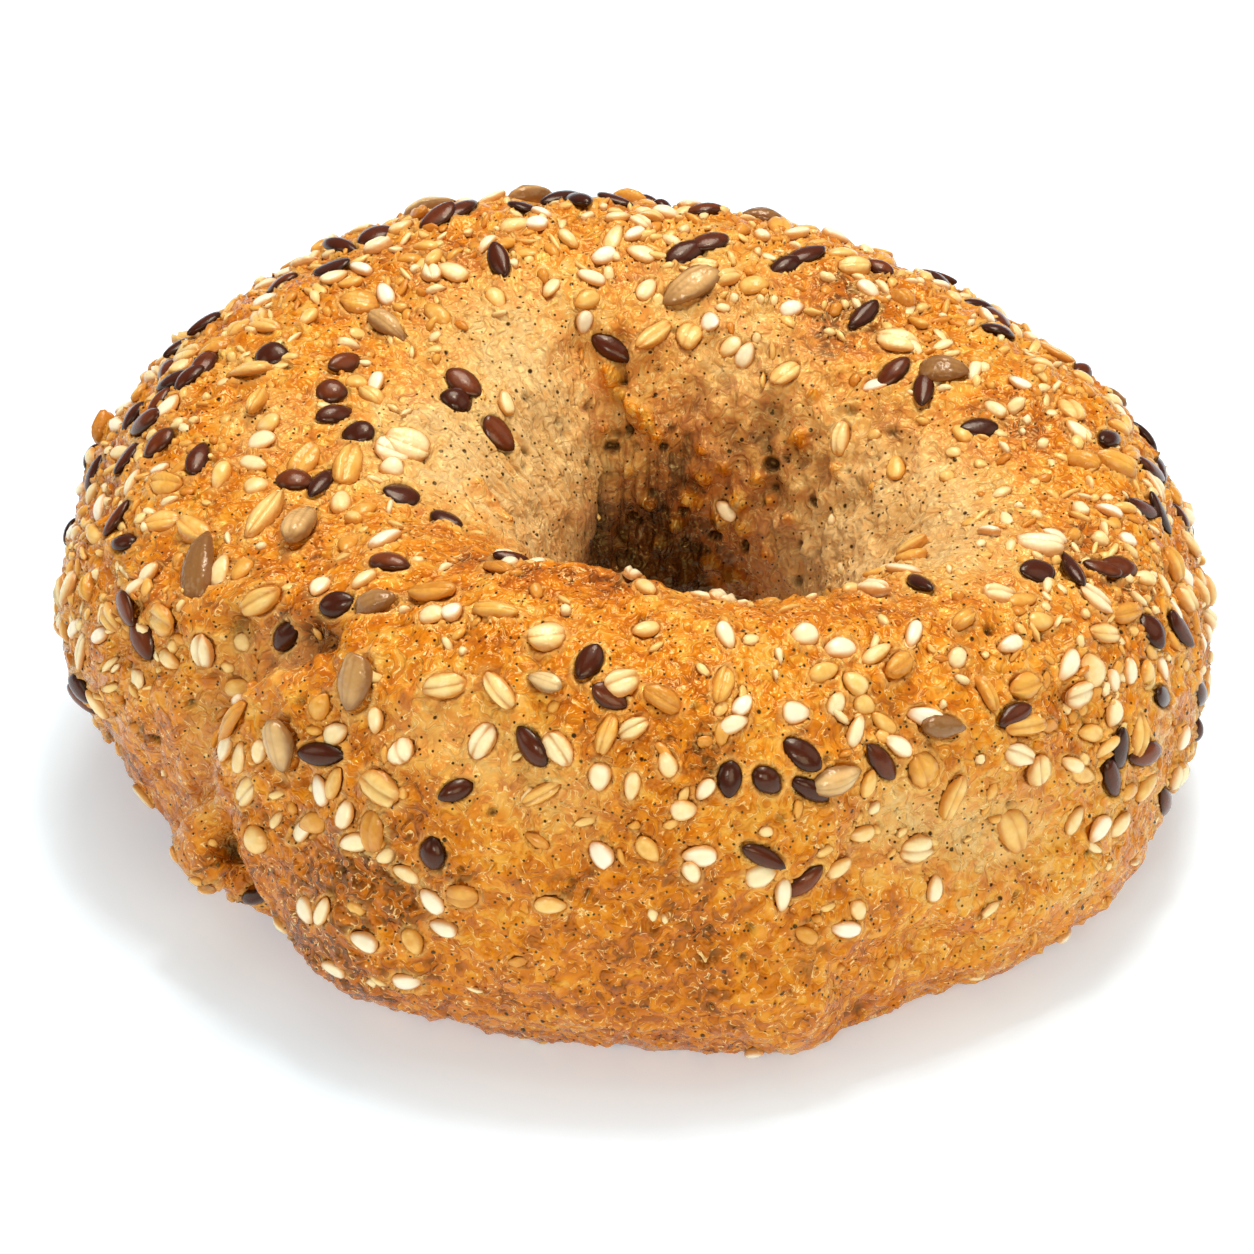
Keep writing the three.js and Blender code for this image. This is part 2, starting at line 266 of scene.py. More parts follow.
# Each kind: length, width and thickness in mm and how much they vary, the share of the thickness that
# stands proud, the exponent of the cross-section, how far the wide part lies towards one end (1 is the
# middle), how full the ends are, how uneven it is, points round it and rows along. Its grooves are given as
# shares of the width and thickness: how far from the middle, how wide and how deep. Ridges are below 0.
KINDS = {
    "linseeds": {
        "size": (3.95, 2.2, 1.35), "spread": 0.1, "proud": 0.72, "edge": 1.7, "taper": 0.88, "ends": 0.6,
        "grooves": [], "uneven": 0.012, "grid": (16, 11),
    },
    "sesame_seeds": {
        "size": (2.8, 1.8, 1.2), "spread": 0.1, "proud": 0.66, "edge": 1.9, "taper": 0.78, "ends": 0.56,
        "grooves": [], "uneven": 0.1, "grid": (12, 9),
    },
    "grain_flakes": {
        "size": (3.5, 2.25, 1.5), "spread": 0.16, "proud": 0.7, "edge": 2, "taper": 0.92, "ends": 0.43,
        "grooves": [(0.02, 0.06, 0.36), (0.27, 0.09, -0.12), (-0.3, 0.05, 0.05)],
        "uneven": 0.24, "grid": (22, 11),
    },
    "sunflower_kernels": {
        "size": (5.2, 2.7, 2.1), "spread": 0.06, "proud": 0.84, "edge": 2, "taper": 0.76, "ends": 0.62,
        "grooves": [(-0.2, 0.05, 0.06), (0.03, 0.04, 0.07), (0.24, 0.05, 0.05)],
        "uneven": 0.16, "grid": (26, 14),
    },
    "crumbs": {
        "size": (1.6, 1, 0.8), "spread": 0.35, "proud": 0.56, "edge": 2, "taper": 1, "ends": 0.5,
        "grooves": [], "uneven": 0.45, "grid": (8, 6),
    },
}
# How many more lie on the sides that the photograph hides, and on those that it shows.
SCATTERED = {
    "sunflower_kernels": (10, 0),
    "grain_flakes": (86, 34),
    "linseeds": (66, 8),
    "sesame_seeds": (280, 70),
    "crumbs": (480, 720),
}
TRIES_A_SEED = 40
SCATTER_SEED = 4111
# Seeds keep this share of their length apart, and this share of them lies where it isn't crowded.
ROOM = 0.6
UNCROWDED = 0.12
# How densely seeds lie round the section: at these tilts in degrees, these shares.
SEEDED_AT = [-150, -149, -36, -25, 0, 20, 100, 116, 165, 170]
SEEDED_SHARE = [0.03, 0.03, 0.03, 0.3, 0.4, 1, 1, 0.16, 0.16, 0.03]

# The camera looks along +Y from above. Its distance and focal length give the photograph's frame.
IMAGE_SIDE = 1254
FOCAL_PIXELS = 5201
CAMERA_RISE = 34 * DEGREE
CAMERA_DISTANCE = 520
CAMERA_AIM = np.array([-0.8, -2.3, 21])
CAMERA_AWAY = np.array([0, -math.cos(CAMERA_RISE), math.sin(CAMERA_RISE)])
CAMERA_UP = np.array([0, math.sin(CAMERA_RISE), math.cos(CAMERA_RISE)])
CAMERA_RIGHT = np.array([1, 0, 0])
CAMERA_PLACE = CAMERA_AIM + CAMERA_AWAY * CAMERA_DISTANCE
SENSOR = 36

# Square area lights: name, place and side in mm, power in W, and colour.
SOFTBOXES = [
    ("key", (40, 280, 660), 330, 2.7, (1, 0.98, 0.95)),
    ("overhead", (0, 60, 900), 760, 2.1, (1, 0.99, 0.97)),
    ("left_fill", (-680, -160, 380), 360, 0.65, (1, 0.96, 0.9)),
    ("right_fill", (640, -60, 520), 600, 1, (1, 0.96, 0.9)),
    ("front_fill", (220, -760, 420), 420, 1.95, (1, 0.93, 0.76)),
    ("top_glint", (60, 40, 640), 100, 0.9, (1, 1, 1)),
    ("front_glint", (-140, -600, 400), 100, 0.8, (1, 1, 1)),
]
WORLD_LIGHT = 0.22
# The floor glows a little, and more far away, where the lights don't reach and only low views look.
FLOOR_GLOW, FAR_GLOW = 0.29, 1.3
FAR_FROM, FAR_TO = 300, 900
FLOOR_REACH = 8000


# Camera, lights and floor

def add_camera():
    camera = bpy.data.objects.new("camera", bpy.data.cameras.new("camera"))
    camera.data.sensor_fit = "HORIZONTAL"
    camera.data.sensor_width = SENSOR
    camera.data.lens = SENSOR * FOCAL_PIXELS / IMAGE_SIDE
    camera.data.clip_start = 0.01
    camera.location = CAMERA_PLACE * MM
    camera.rotation_euler = (math.pi / 2 - CAMERA_RISE, 0, 0)
    bpy.context.scene.collection.objects.link(camera)
    bpy.context.scene.camera = camera


def add_softbox(name, place, side, power, colour):
    """A square area light that shines from place, in mm, on the middle of the bagel."""
    light = bpy.data.lights.new(name, "AREA")
    light.size = side * MM
    light.energy = power
    light.color = colour
    box = bpy.data.objects.new(name, light)
    box.location = Vector(place) * MM
    aim = (Vector(cad_box[0]) + Vector(cad_box[1])) / 2
    box.rotation_euler = (aim - box.location).to_track_quat("-Z", "Y").to_euler()
    bpy.context.scene.collection.objects.link(box)


def add_lights():
    for softbox in SOFTBOXES:
        add_softbox(*softbox)
    world = bpy.data.worlds.new("pale_room")
    world.use_nodes = True
    background = world.node_tree.nodes["Background"]
    background.inputs["Color"].default_value = (1, 1, 1, 1)
    background.inputs["Strength"].default_value = WORLD_LIGHT
    bpy.context.scene.world = world
    bpy.context.scene.view_settings.view_transform = "Standard"


# Smooth random fields

LATTICE = np.random.default_rng(7).normal(size=(4096, 3))
LATTICE /= np.linalg.norm(LATTICE, axis=1, keepdims=True)
HASH_PRIMES = np.array([73856093, 19349663, 83492791])
SEED_SHIFT, SEED_KEY = 17.3, 9176
NOISE_GAIN = 1.6


def noise(points, wave, seed=0):
    """Gradient noise from about -1 to 1, with hills and dips about one wave apart."""
    scaled = points / wave + seed * SEED_SHIFT
    cell = np.floor(scaled).astype(np.int64)
    part = scaled - cell
    ease = part ** 3 * (part * (part * 6 - 15) + 10)
    total = np.zeros(points.shape[:-1])
    for corner in itertools.product((0, 1), repeat=3):
        corner = np.array(corner)
        key = ((cell + corner) * HASH_PRIMES).sum(-1) + seed * SEED_KEY
        slope = (LATTICE[(key ^ (key >> 13)) % len(LATTICE)] * (part - corner)).sum(-1)
        total += slope * np.where(corner == 1, ease, 1 - ease).prod(-1)
    return total * NOISE_GAIN


def rolling(points, wave, seed=0, octaves=3):
    """Several layers of noise, each half as wide and half as high."""
    return sum(noise(points, wave / 2 ** k, seed + k) / 2 ** k for k in range(octaves))


def smoothstep(low, high, value):
    t = np.clip((value - low) / (high - low), 0, 1)
    return t * t * (3 - 2 * t)


# The dough, in the same words as the solid

def smooth_round(values, turn):
    values = np.array(values, float)
    n = len(values)
    at = np.mod(turn / FULL_TURN, 1) * n
    i = np.floor(at).astype(int)
    f = at - i
    a, b, c, d = (values[(i + k) % n] for k in (-1, 0, 1, 2))
    bend = (2 * a - 5 * b + 4 * c - d) * f ** 2 + (3 * b - a - 3 * c + d) * f ** 3
    return 0.5 * (2 * b + (c - a) * f + bend)


def signed_power(x, p):
    return np.sign(x) * np.abs(x) ** p


def plain_points(turn, tilt):
    outer, inner, crest = (smooth_round(RING[name], turn) for name in ("outer", "inner", "crest"))
    exponent = 2 / np.where(np.sin(tilt) >= 0, ROUND_TOP, ROUND_BASE)
    across = signed_power(np.cos(tilt), exponent)
    up = signed_power(np.sin(tilt), exponent)
    level = crest * EQUATOR
    radius = (outer + inner) / 2 + (outer - inner) / 2 * across
    z = level + up * np.where(up >= 0, crest - level, level * SINK)
    x = HOLE_CENTRE[0] + radius * np.cos(turn)
    y = HOLE_CENTRE[1] + radius * np.sin(turn)
    return np.stack([x, y, np.maximum(z, 0)], -1)


def outward_normals(points_at, turn, tilt, step=0.01):
    along = points_at(turn + step, tilt) - points_at(turn - step, tilt)
    over = points_at(turn, tilt + step) - points_at(turn, tilt - step)
    normal = np.cross(along, over)
    return normal / (np.linalg.norm(normal, axis=-1, keepdims=True) + 1e-9)


def distance_to_path(points, path):
    """Distance from each point to a path given in degrees round the ring and the section."""
    stops = [plain_points(np.array(a * DEGREE), np.array(b * DEGREE)) for a, b in path]
    if len(stops) == 1:
        return np.linalg.norm(points - stops[0], axis=-1)
    gaps = []
    for start, end in zip(stops[:-1], stops[1:]):
        run = end - start
        t = np.clip((points - start) @ run / (run @ run), 0, 1)
        gaps.append(np.linalg.norm(points - start - t[..., None] * run, axis=-1))
    return np.min(gaps, axis=0)


def painted(points, strokes):
    """The sum of soft strokes at each point. A stroke is how wide, how strong, and its path."""
    return sum(high * np.exp(-(distance_to_path(points, path) / wide) ** 2) for wide, high, path in strokes)


def dough_points(turn, tilt):
    plain = plain_points(turn, tilt)
    moved = painted(plain, STROKES.values())[..., None] * outward_normals(plain_points, turn, tilt)
    dough = plain + moved
    dough[..., 2] = np.maximum(dough[..., 2], 0)
    return np.where(plain[..., 2:] == 0, plain, dough)


def ring_faces(turns, tilts):
    """Quads of a closed grid with turns x tilts corners, facing outwards."""
    i, j = np.meshgrid(np.arange(turns), np.arange(tilts), indexing="ij")
    i2, j2 = (i + 1) % turns, (j + 1) % tilts
    return np.stack([i * tilts + j, i2 * tilts + j, i2 * tilts + j2, i * tilts + j2], -1).reshape(-1, 4)


# Places on the dough

SMOOTH_GRID = (300, 120)


def smooth_tree():
    turn, tilt = np.meshgrid(
        np.arange(SMOOTH_GRID[0]) * FULL_TURN / SMOOTH_GRID[0],
        np.arange(SMOOTH_GRID[1]) * FULL_TURN / SMOOTH_GRID[1],
        indexing="ij",
    )
    points = dough_points(turn, tilt).reshape(-1, 3)
    return BVHTree.FromPolygons(points.tolist(), ring_faces(*SMOOTH_GRID).tolist())


DOUGH = smooth_tree()
IMAGE_MIDDLE = np.array([IMAGE_SIDE / 2, IMAGE_SIDE / 2])
# A pixel beside the bagel moves inwards by steps, each a share of the way to the middle of the picture.
STEPS_INWARDS, INWARD_STEP = 14, 0.006
# A seed's direction is read so many pixels from its middle, unless the dough is seen edge-on.
READ_AT = 8
EDGE_ON = 0.2
# How much longer foreshortened seeds get: a power of the share that shows, and the most.
STOOD_UP, LONGEST = 0.8, 1.3
# Places are seen at a steeper angle than this, with less than so many mm of dough in front.
FLATTEST, SAME_PLACE = 0.16, 1.5
ASLANT = (0.3, 0.2, 1)


def pixel_ray(x, y):
    right, down = np.array([x, y]) - IMAGE_MIDDLE
    ray = CAMERA_RIGHT * right - CAMERA_UP * down - CAMERA_AWAY * FOCAL_PIXELS
    return ray / np.linalg.norm(ray)


def place_at_pixel(x, y):
    """Point and outward normal of the dough behind a pixel, or behind the next one inwards that meets it."""
    for step in range(STEPS_INWARDS):
        pixel = np.array([x, y]) + (IMAGE_MIDDLE - (x, y)) * step * INWARD_STEP
        point, normal, _, _ = DOUGH.ray_cast(CAMERA_PLACE.tolist(), pixel_ray(*pixel).tolist())
        if point is not None:
            return np.array(point), np.array(normal), pixel
    raise ValueError(f"no dough behind pixel {x}, {y}")


def spot_from_photo(x, y, rise, size=1):
    """A place on the dough, its normal, the seed's direction, and its scale along and across.

    The direction shows as rise degrees. Seeds seen foreshortened stood up a little, so they get longer.
    """
    point, normal, pixel = place_at_pixel(x, y)
    aside = pixel + np.array([math.cos(rise * DEGREE), -math.sin(rise * DEGREE)]) * READ_AT
    ray = pixel_ray(*aside)
    away = ray @ normal
    other = CAMERA_PLACE + ray * ((point - CAMERA_PLACE) @ normal / away)
    along = other - point
    if abs(away) < EDGE_ON:
        along = np.cross(normal, [0, 0, 1]) * math.cos(rise * DEGREE) + along / np.linalg.norm(along)
    along -= normal * (along @ normal)
    along /= np.linalg.norm(along)
    view = (CAMERA_PLACE - point) / np.linalg.norm(CAMERA_PLACE - point)
    shown = [math.sqrt(1 - (axis @ view) ** 2) for axis in (along, np.cross(normal, along))]
    return point, normal, along, [size * min(share ** -STOOD_UP, LONGEST) for share in shown]


def is_seen(point, normal):
    """True if the photograph shows this place, and not at a very flat angle."""
    gap = CAMERA_PLACE - point
    distance = np.linalg.norm(gap)
    if gap @ normal / distance < FLATTEST:
        return False
    hit = DOUGH.ray_cast(CAMERA_PLACE.tolist(), (-gap / distance).tolist())[0]
    return hit is not None and np.linalg.norm(np.array(hit) - point) < SAME_PLACE


def scattered_spots(count, room, taken, draw, shown):
    """Random places at least room from those taken: where it is crowded, or all over the hidden sides."""
    tries = TRIES_A_SEED * count
    turn = draw.uniform(0, FULL_TURN, tries)
    tilt = draw.uniform(-math.pi, math.pi, tries)
    spin = draw.uniform(0, math.pi, tries)
    points = dough_points(turn, tilt)
    normals = outward_normals(dough_points, turn, tilt)
    share = np.interp(tilt / DEGREE, SEEDED_AT, SEEDED_SHARE)
    share *= np.hypot(points[:, 0] - HOLE_CENTRE[0], points[:, 1] - HOLE_CENTRE[1]) / max(RING["outer"])
    if shown:
        share *= UNCROWDED + (1 - UNCROWDED) * painted(points, CROWDED).clip(0, 1)
    chosen = np.flatnonzero(draw.uniform(0, 1, tries) < share)
    spots = []
    for point, normal, angle in zip(points[chosen], normals[chosen], spin[chosen]):
        if len(spots) == count:
            break
        if np.linalg.norm(np.array(taken) - point, axis=1).min() < room:
            continue
        if is_seen(point, normal) != shown:
            continue
        level = np.cross(normal, ASLANT)
        level /= np.linalg.norm(level)
        along = level * math.cos(angle) + np.cross(normal, level) * math.sin(angle)
        spots.append((point, normal, along, [1, 1]))
        taken.append(point)
    return spots


def all_spots():
    """The places of every kind: first the ones that the photograph shows, then the scattered ones."""
    draw = np.random.default_rng(SCATTER_SEED)
    photographed = {
        "linseeds": LINSEEDS,
        "sunflower_kernels": KERNELS,
        "grain_flakes": FLAKES,
        "sesame_seeds": SESAME,
        "crumbs": [],
    }
    spots = {kind: [spot_from_photo(*pixel) for pixel in pixels] for kind, pixels in photographed.items()}
    taken = [spot[0] for places in spots.values() for spot in places]
    for kind, (hidden, shown) in SCATTERED.items():
        room = KINDS[kind]["size"][0] * ROOM
        spots[kind] += scattered_spots(hidden, room, taken, draw, shown=False)
        spots[kind] += scattered_spots(shown, room, taken, draw, shown=True)
    return spots


# Meshes

def mesh_piece(name, points, faces, material, fields):
    """A smooth mesh from points in mm, with named fields on its corners, riding on the bagel's body."""
    mesh = bpy.data.meshes.new(name)
    mesh.from_pydata((points * MM).tolist(), [], faces)
    for field, values in fields.items():
        mesh.attributes.new(field, "FLOAT", "POINT").data.foreach_set("value", values.astype(np.float32))
    mesh.polygons.foreach_set("use_smooth", [True] * len(mesh.polygons))
    mesh.materials.append(material)
    mesh.update()
    piece = bpy.data.objects.new(name, mesh)
    bpy.context.scene.collection.objects.link(piece)
    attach(piece, "root")
    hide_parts("bagel")
    return piece


# The edge field is partly the seed's own toasted colour and partly painted shade on its sides, ends and
# grooves.
# The first row of corners is this share of a row from the seed's end, which gets thin with the power of
# its fullness. The edge field rises with a power to the sides, and with the gain in grooves.
ROW_START = 0.6
END_POWER, EDGE_POWER = 0.8, 3
GROOVE_GAIN = 9
# How seeds differ: scale, slope, bend of the ends and height as shares of the thickness.
SCALE_LIMITS = (0.6, 1.6)
TILTED = 0.1
BENT = (-0.25, 0.15)
RAISED = (-0.1, 0.08)
# How often a seed swells, the shift from seed to seed, the seed of the noise, and the share.
SWELLS = [(2.2, 5.1, 3, 0.6), (5, 3.7, 4, 0.4)]
# A seed rests on the crust within this share of its length.
SEAT_SHARE = 0.42
SEED_DRAWS = 60


def seed_template(kind):
    """Corners, faces and edge field of one seed of unit size: x along, y across and z up, each to 0.5."""
    form = KINDS[kind]
    sides, rows = form["grid"]
    edge = form["edge"]
    angle = np.arange(sides) * FULL_TURN / sides
    corners, rim = [[-0.5, 0, 0]], [1]
    for row in range(rows):
        t = (1 - math.cos(math.pi * (row + ROW_START) / (rows - 1 + 2 * ROW_START))) / 2
        full = math.sin(math.pi * t ** form["taper"]) ** form["ends"]
        for a in angle:
            y = math.cos(a) * full / 2
            bulge = math.copysign((1 - abs(math.cos(a)) ** edge) ** (1 / edge), math.sin(a))
            z = bulge * full ** END_POWER / 2
            crease = 0
            for middle, wide, deep in form["grooves"]:
                if math.sin(a) > 0:
                    share = math.exp(-((y - middle * full) / wide) ** 2)
                    crease = max(crease, share * min(1, GROOVE_GAIN * deep))
                    z -= deep * share * full
            corners.append([t - 0.5, y, z])
            rim.append(max(abs(math.cos(a)) ** EDGE_POWER, 1 - full, crease))
    corners.append([0.5, 0, 0])
    rim.append(1)
    faces = []
    last = len(corners) - 1
    for k in range(sides):
        n = (k + 1) % sides
        faces.append((0, 1 + n, 1 + k))
        for row in range(rows - 1):
            low = 1 + row * sides
            faces.append((low + k, low + n, low + sides + n, low + sides + k))
        faces.append((last, last - sides + k, last - sides + n))
    return np.array(corners), faces, np.array(rim, float)


def seed_piece(kind, spots, crust, material, draw):
    """All seeds of a kind as one mesh, and the footprints that they leave in the crust."""
    template, faces, rim = seed_template(kind)
    form = KINDS[kind]
    size = np.array(form["size"])
    corners, tones, footprints = [], [], []
    for n, (point, normal, along, stretch) in enumerate(spots):
        scale = size * (1 + draw.normal(size=3) * form["spread"]).clip(*SCALE_LIMITS) * [*stretch, 1]
        along = along * draw.choice([-1, 1])
        side = np.cross(normal, along)
        ground, slope_along, slope_across = crust.seat_of(point, along, side, scale[0] * SEAT_SHARE)
        pitch = slope_along + draw.normal() * TILTED
        roll = slope_across + draw.normal() * TILTED
        local = template * scale
        local[:, 2] += scale[2] * draw.uniform(*BENT) * (2 * template[:, 0]) ** 2
        swell = sum(
            share * noise(template * often + n * shift, 1, seed) for often, shift, seed, share in SWELLS
        )
        local *= (1 + form["uneven"] * swell)[:, None]
        height = ground + scale[2] * (form["proud"] - 0.5 + draw.uniform(*RAISED))
        up = local[:, 2] + height + roll * local[:, 1] + pitch * local[:, 0]
        corners.append(point + local[:, :1] * along + local[:, 1:2] * side + up[:, None] * normal)
        tones.append(np.full(len(template), draw.uniform(0, 1)))
        footprints.append((point, along, side, scale[0] / 2, scale[1] / 2))
    count = len(template)
    joined = [tuple(v + n * count for v in face) for n in range(len(spots)) for face in faces]
    corners = np.concatenate(corners)
    corners[:, 2] = np.maximum(corners[:, 2], 0)
    fields = {"tone": np.concatenate(tones), "rim": np.tile(rim, len(spots))}
    mesh_piece(kind, corners, joined, material, fields)
    return footprints


# The crust

CRUST_GRID = (980, 306)
CRUST_PIECES = 4
CRUST_SEED = 907
# Between these tilts in degrees, under the bagel, the grid has this share of its rows.
BASE_FROM, BASE_TO = -150, -55
BASE_SHARE = 0.3

# Relief in mm. Hills: how far apart, how high, and the seed of their noise.
LUMPS = (9.5, 0.6, 1)
PEBBLES = (3.4, 0.46, 5)
KNOBS = (3.2, 0.7, 31)
# Strands bend by the warp. Each kind is how far apart, how wide as a share of that, and a seed.
WARP_WIDE, WARP_FAR, WARP_SEEDS = 2.8, 1.3, (21, 22, 23)
RIDGES, RIDGE_HIGH = (2, 0.3, 8), 0.2
CURLS, CURL_HIGH = (1.25, 0.32, 9), 0.08
STRANDS_SUNK = 0.12
# Folds: mm for a radian round the ring and a degree over it, and their bends. Each kind is how wide, how
# deep, a seed, and how far apart both ways.
RING_ARC, SECTION_ARC = 50, 0.38
BENDS_WIDE, BENDS_FAR, BENDS_SEED = 6, 1.2, 12
FOLDS_OVER = (0.35, 1.5, 11, [2.6, 14, 1])
FOLDS_AROUND = (0.3, 0.6, 14, [13, 1.5, 1])
# Nubs of dough: how many are tried, and their least and largest radius. Plain crust keeps a share.
# Heights and depths are shares of the radius, and nutty crust adds to them.
NUBS = [(3200, 0.35, 0.75), (900, 0.75, 1.35)]
PLAIN_NUBS = 0.2
NUB_LOW, NUB_HIGH, NUTTY_HIGH = 0.25, 0.55, 0.2
PORE_COUNT, PORE_RADIUS = 260, (0.3, 0.6)
PIT_DEEP, KNOT_HIGH = 1.5, 1.25
# Dabs and creases are uneven: how far apart, how much, and a seed. A dab ends at so many radii.
DABS_UNEVEN = (1.4, 0.45, 61)
CREASES_UNEVEN = (2, 0.3, 62)
DAB_REACH = 1.4
# How much of the fine relief the base and the stretched places lose.
CALM_BASE, CALM_OVER, CALM_AROUND = 0.75, 0.5, 0.35
# Seeds follow the slope within so many mm or more, up to the steepest. The crust sinks under a seed and
# rises in a lip round it, out to these shares of its half-size.
LEAST_REACH, STEEPEST = 0.9, 0.35
SUNK, SUNK_TO = 0.35, 0.95
LIP_HIGH, LIP_AT, LIP_WIDE = (0.12, 0.34), 1.12, 0.2
PRESS_REACH = 1.5
RESTING_BELOW, RESTING_RELIEF = 0.05, 0.4

# What adds to how baked the crust is, from 0, pale, to 1, dark brown. Deep in the hole it adds painted
# shade.
BAKED_PLAIN, BAKED_BROWNED_AND_SHADED, BAKED_PALE = 0.4, 0.45, -0.36
BAKED_INSIDE, DEEP_BAKE_AND_SHADE, BAKED_SIDES, BAKED_BASE = -0.08, 0.15, 0.1, 0.3
BAKED_PATCHES = (14, 0.08, 41)
# Small changes of tone: wide and fine patches, strands, knobs, knots, and painted shade in the gaps between
# knobs.
PATCHES, SPOTS = (5, 0.19, 51), (1.6, 0.18, 55)
STRAND_TONE, CURL_SHARE, TONE_RAISED = 0.2, 0.8, 0.1
KNOB_TONE, KNOT_TONE, GAP_SHADE_TONE = 0.2, 0.3, 0.35
DARKEST = 0.8
# Painted shade in the gaps between knobs, in pits and deep in the hole.
GAP_SHADE, PIT_SHADE, DEEP_SHADE = 0.3, 1.4, 0.15


def crust_tilts(count):
    """Tilts spaced evenly along the section, but wider apart under the bagel, where it rests."""
    fine = np.linspace(-math.pi, math.pi, 2001)
    front = np.full_like(fine, 270 * DEGREE)
    steps = np.linalg.norm(np.diff(plain_points(front, fine), axis=0), axis=1)
    middle = (fine[1:] + fine[:-1]) / 2 / DEGREE
    steps = steps * np.where((middle > BASE_FROM) & (middle < BASE_TO), BASE_SHARE, 1) + 1e-3
    run = np.concatenate([[0], np.cumsum(steps)])
    return np.interp(np.arange(count) / count * run[-1], run, fine)


def hills(points, wide, high, seed):
    """Rolling hills and dips of about high mm."""
    return high * rolling(points, wide, seed, 2)


def strands(points, apart, wide, seed):
    """1 on wandering lines, falling to 0 between them."""
    return 1 - smoothstep(0, wide, np.abs(noise(points, apart, seed)))


def folds(arc, wide, deep, seed, spacing):
    """Furrows of deep mm along the lines where the noise is nought."""
    lines = np.abs(rolling(arc / spacing, 1, seed, 2))
    return -deep * (wide - lines).clip(0, 1)


class Crust:
    """The crust as one fine grid over the dough, which carries relief and takes the seeds' footprints."""

    def __init__(self):
        turn, tilt = np.meshgrid(
            np.arange(CRUST_GRID[0]) * FULL_TURN / CRUST_GRID[0], crust_tilts(CRUST_GRID[1]), indexing="ij"
        )
        self.points = dough_points(turn, tilt).reshape(-1, 3)
        self.normals = outward_normals(dough_points, turn, tilt).reshape(-1, 3)
        self.turn, self.degrees = turn.ravel(), tilt.ravel() / DEGREE
        self.tree = KDTree(len(self.points))
        for i, point in enumerate(self.points):
            self.tree.insert(point, i)
        self.tree.balance()
        self.draw = np.random.default_rng(CRUST_SEED)
        self.rough = painted(self.points, ROUGH).clip(0, 1)
        self.seat = np.zeros(len(self.points))
        self.add_folds()
        self.add_fine_relief()
        wide, much, seed = CREASES_UNEVEN
        crease = painted(self.points, CREASES) * (1 + much * noise(self.points, wide, seed))
        self.move = hills(self.points, *LUMPS) + self.fine + self.knobs + self.knot + self.folds
        self.move += crease + self.pit

    def add_folds(self):
        """Wrinkles where the dough was stretched round the ring or over it."""
        self.over = painted(self.points, STRETCHED_OVER).clip(0, 1)
        self.around = painted(self.points, STRETCHED_ROUND).clip(0, 1)
        arc = np.stack([self.turn * RING_ARC, self.degrees * SECTION_ARC, np.zeros_like(self.turn)], -1)
        arc[:, 0] += BENDS_FAR * noise(self.points, BENDS_WIDE, BENDS_SEED)
        self.folds = folds(arc, *FOLDS_OVER) * self.over + folds(arc, *FOLDS_AROUND) * self.around

    def add_fine_relief(self):
        """Pebbles, strands and nubs, calmer on the base and where the dough is stretched, knots and pits."""
        points, draw = self.points, self.draw
        warp = np.stack([noise(points, WARP_WIDE, seed) for seed in WARP_SEEDS], -1)
        warped = points + WARP_FAR * warp
        self.ridge = strands(warped, *RIDGES)
        self.curl = strands(warped, *CURLS)
        raised = RIDGE_HIGH * self.ridge + CURL_HIGH * self.curl - STRANDS_SUNK
        self.knobs = hills(points, *KNOBS) * self.rough
        nutty = painted(points, NUTTY).clip(0, 1)
        nubs = []
        for count, least, largest in NUBS:
            for i in draw.choice(len(points), count):
                radius = draw.uniform(least, largest)
                if draw.uniform(0, 1) < PLAIN_NUBS + (1 - PLAIN_NUBS) * max(nutty[i], self.rough[i]):
                    high = draw.uniform(NUB_LOW, NUB_HIGH + NUTTY_HIGH * nutty[i])
                    nubs.append((points[i], radius, radius * high))
        pores = [(points[i], draw.uniform(*PORE_RADIUS), -draw.uniform(*PORE_RADIUS))
                 for i in draw.choice(len(points), PORE_COUNT)]
        pits = [(place_at_pixel(x, y)[0], radius, -PIT_DEEP * radius) for x, y, radius in PITS]
        knots = [(place_at_pixel(x, y)[0], radius, KNOT_HIGH * radius) for x, y, radius in KNOTS]
        wide, much, seed = DABS_UNEVEN
        uneven = 1 + much * noise(points, wide, seed)
        self.pit = self.dabs(pores + pits, uneven)
        self.knot = self.dabs(knots, uneven)
        self.base = smoothstep(-50, -75, self.degrees) * smoothstep(-150, -125, self.degrees)
        calm = (1 - CALM_BASE * self.base) * (1 - CALM_OVER * self.over) * (1 - CALM_AROUND * self.around)
        self.fine = (hills(points, *PEBBLES) + raised + self.dabs(nubs, uneven)) * calm

    def dabs(self, dabs, uneven):
        """Bumps, or pits where high is negative. A dab is its place, radius and height."""
        move = np.zeros(len(self.points))
        for place, radius, high in dabs:
            reach = radius * DAB_REACH
            for _, i, gap in self.tree.find_range(place.tolist(), reach):
                move[i] += high * max(0, 1 - (gap * uneven[i] / reach) ** 2) ** 2
        return move

    def seat_of(self, point, along, side, reach):
        """How high the relief is under a seed, and how it slopes along and across it."""
        near = [i for _, i, _ in self.tree.find_range(point.tolist(), max(reach, LEAST_REACH))]
        gap = self.points[near] - point
        plane = np.stack([np.ones(len(near)), gap @ along, gap @ side], -1)
        height, pitch, roll = np.linalg.lstsq(plane, self.move[near], rcond=None)[0]
        return height, np.clip(pitch, -STEEPEST, STEEPEST), np.clip(roll, -STEEPEST, STEEPEST)

    def press(self, footprints):
        """The crust lies lower under each seed, and rises in a small lip round it."""
        for point, along, side, half_long, half_wide in footprints:
            near = [i for _, i, _ in self.tree.find_range(point.tolist(), half_long * PRESS_REACH)]
            gap = self.points[near] - point
            out = np.hypot(gap @ along / half_long, gap @ side / half_wide)
            lip = self.draw.uniform(*LIP_HIGH)
            self.seat[near] += lip * np.exp(-((out - LIP_AT) / LIP_WIDE) ** 2) - SUNK * (out < SUNK_TO)

